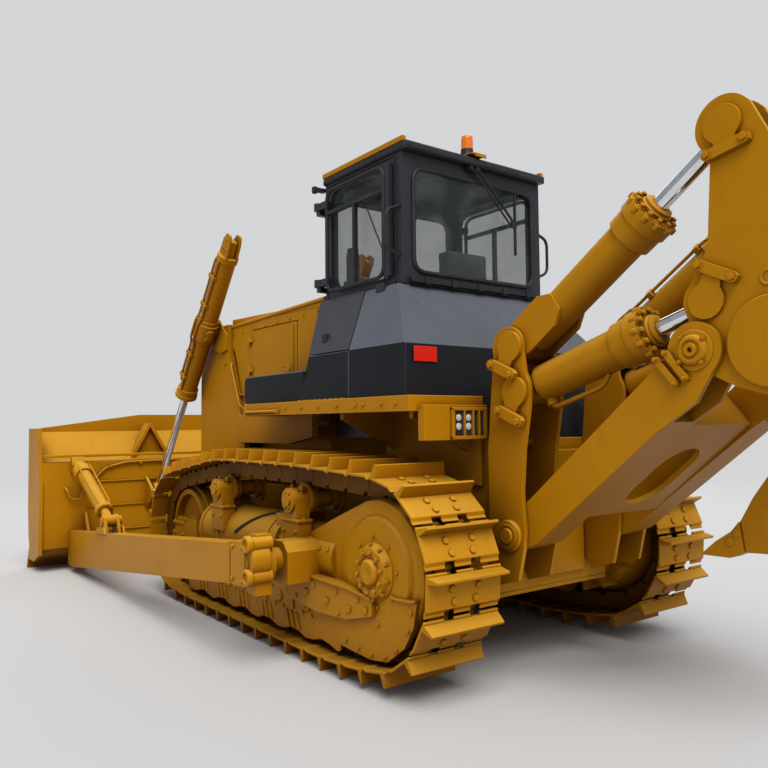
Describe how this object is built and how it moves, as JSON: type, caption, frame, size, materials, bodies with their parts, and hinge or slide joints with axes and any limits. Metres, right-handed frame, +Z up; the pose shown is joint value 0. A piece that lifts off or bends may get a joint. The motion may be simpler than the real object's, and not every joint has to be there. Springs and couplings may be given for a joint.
{
  "type": "crawler bulldozer",
  "caption": "Full-size crawler bulldozer with a lifting blade on push arms, an enclosed cab and a parallelogram ripper behind.",
  "frame": {"origin": "on the ground under the middle of the machine's bounding box", "axes": "+X forward, towards the blade; +Y the machine's left; +Z up"},
  "size_m": [8.22, 4.13, 3.826],
  "materials": {
    "yellow_paint": "satin",
    "black_paint": "satin",
    "rod_chrome": "polished",
    "window_glass": "polished",
    "seat_fabric": "matte",
    "dark_steel": "satin",
    "amber_lens": "gloss",
    "dark_plastic": "matte"
  },
  "bodies": {
    "hull": {"beacon": "amber_lens", "cab_floor": "black_paint", "cab_front_panel": "black_paint", "cab_glass": "window_glass", "cab_hinges": "black_paint", "cab_rear_panel": "black_paint", "cab_roof": "black_paint", "cab_sides": "black_paint", "carrier_rollers": "yellow_paint", "consoles": "black_paint", "dash": "dark_plastic", "decks": "yellow_paint", "engine_block": "dark_steel", "equalizer_bar": "yellow_paint", "exhaust_stack": "dark_steel", "final_drives": "yellow_paint", "hood_hinges": "yellow_paint", "hood_sides": "yellow_paint", "hood_top": "yellow_paint", "idlers": "yellow_paint", "lamp_boxes": "black_paint", "low_boxes": "black_paint", "main_frame": "yellow_paint", "radiator_core": "black_paint", "radiator_grille": "yellow_paint", "radiator_guard": "yellow_paint", "rear_case": "yellow_paint", "rear_tank": "black_paint", "ripper_brackets": "yellow_paint", "seat_back": "seat_fabric", "seat_base": "black_paint", "seat_cushion": "seat_fabric", "sprockets": "yellow_paint", "track_frames": "yellow_paint", "track_left": "yellow_paint", "track_right": "yellow_paint", "track_rollers": "yellow_paint"},
    "blade": {"blade": "yellow_paint", "cutting_edge": "yellow_paint", "push_arms": "yellow_paint", "tilt_cylinder": "yellow_paint", "tilt_brace": "yellow_paint"},
    "lift_barrels": {"lift_barrels": "yellow_paint"},
    "lift_rods": {"lift_rods": "rod_chrome"},
    "ripper_arms": {"ripper_arms": "yellow_paint"},
    "ripper_tower": {"ripper_tower": "yellow_paint", "ripper_shank": "yellow_paint", "ripper_point": "yellow_paint"},
    "ripper_lift_barrels": {"ripper_lift_barrels": "yellow_paint"},
    "ripper_lift_rods": {"ripper_lift_rods": "rod_chrome"},
    "ripper_tilt_barrels": {"ripper_tilt_barrels": "yellow_paint"},
    "ripper_tilt_rods": {"ripper_tilt_rods": "rod_chrome"},
    "cab_door_left": {"cab_door_left": "black_paint", "door_glass_left": "window_glass"},
    "cab_door_right": {"cab_door_right": "black_paint", "door_glass_right": "window_glass"},
    "engine_door_left": {"engine_door_left": "yellow_paint"},
    "engine_door_right": {"engine_door_right": "yellow_paint"}
  },
  "joints": [
    {"name": "blade_lift", "type": "hinge", "parent": "hull", "child": "blade", "pos_m": [-0.86, 0, 0.7], "axis": [0, -1, 0], "range_deg": [-6.5, 17.9]},
    {"name": "lift_barrel_swing", "type": "hinge", "parent": "hull", "child": "lift_barrels", "pos_m": [1.98, 0, 2.6], "axis": [0, -1, 0], "range_deg": [-9.5, 25.5]},
    {"name": "lift_rod_slide", "type": "slide", "parent": "lift_barrels", "child": "lift_rods", "axis": [0.6236, 0, -0.7817], "range_m": [-1.04, 0.385]},
    {"name": "ripper_raise", "type": "hinge", "parent": "hull", "child": "ripper_arms", "pos_m": [-2.15, 0, 0.925], "axis": [0, 1, 0], "range_deg": [-64, 0]},
    {"name": "ripper_tower_link", "type": "hinge", "parent": "ripper_arms", "child": "ripper_tower", "pos_m": [-3.38, 0, 1.95], "axis": [0, 1, 0], "range_deg": [0, 64.5]},
    {"name": "ripper_lift_barrel_swing", "type": "hinge", "parent": "hull", "child": "ripper_lift_barrels", "pos_m": [-2.21, 0, 1.81], "axis": [0, 1, 0], "range_deg": [-60.3, 0]},
    {"name": "ripper_lift_rod_slide", "type": "slide", "parent": "ripper_lift_barrels", "child": "ripper_lift_rods", "axis": [-0.9554, 0, 0.2952], "range_m": [0, 0.681]},
    {"name": "ripper_tilt_barrel_swing", "type": "hinge", "parent": "hull", "child": "ripper_tilt_barrels", "pos_m": [-2.16, 0, 2.07], "axis": [0, 1, 0], "range_deg": [-59.3, 0]},
    {"name": "ripper_tilt_rod_slide", "type": "slide", "parent": "ripper_tilt_barrels", "child": "ripper_tilt_rods", "axis": [-0.8228, 0, 0.5683], "range_m": [0, 0.094]},
    {"name": "cab_door_left_hinge", "type": "hinge", "parent": "hull", "child": "cab_door_left", "pos_m": [-0.205, 0.76, 3.1], "axis": [0, 0, -1], "range_deg": [0, 85]},
    {"name": "cab_door_right_hinge", "type": "hinge", "parent": "hull", "child": "cab_door_right", "pos_m": [-0.205, -0.76, 3.1], "axis": [0, 0, 1], "range_deg": [0, 85]},
    {"name": "engine_door_left_hinge", "type": "hinge", "parent": "hull", "child": "engine_door_left", "pos_m": [1.299, 0.638, 2.3], "axis": [0, 0, -1], "range_deg": [0, 100]},
    {"name": "engine_door_right_hinge", "type": "hinge", "parent": "hull", "child": "engine_door_right", "pos_m": [1.299, -0.638, 2.3], "axis": [0, 0, 1], "range_deg": [0, 100]}
  ],
  "couplings": [
    {"joint": "lift_barrel_swing", "follows": "blade_lift", "ratio": 1.3775},
    {"joint": "lift_rod_slide", "follows": "blade_lift", "m_per_rad": -3.2615},
    {"joint": "ripper_tower_link", "follows": "ripper_raise", "ratio": -1},
    {"joint": "ripper_lift_barrel_swing", "follows": "ripper_raise", "ratio": 0.9347},
    {"joint": "ripper_lift_rod_slide", "follows": "ripper_raise", "m_per_rad": -0.6028},
    {"joint": "ripper_tilt_barrel_swing", "follows": "ripper_raise", "ratio": 0.9184},
    {"joint": "ripper_tilt_rod_slide", "follows": "ripper_raise", "m_per_rad": -0.0824}
  ]
}
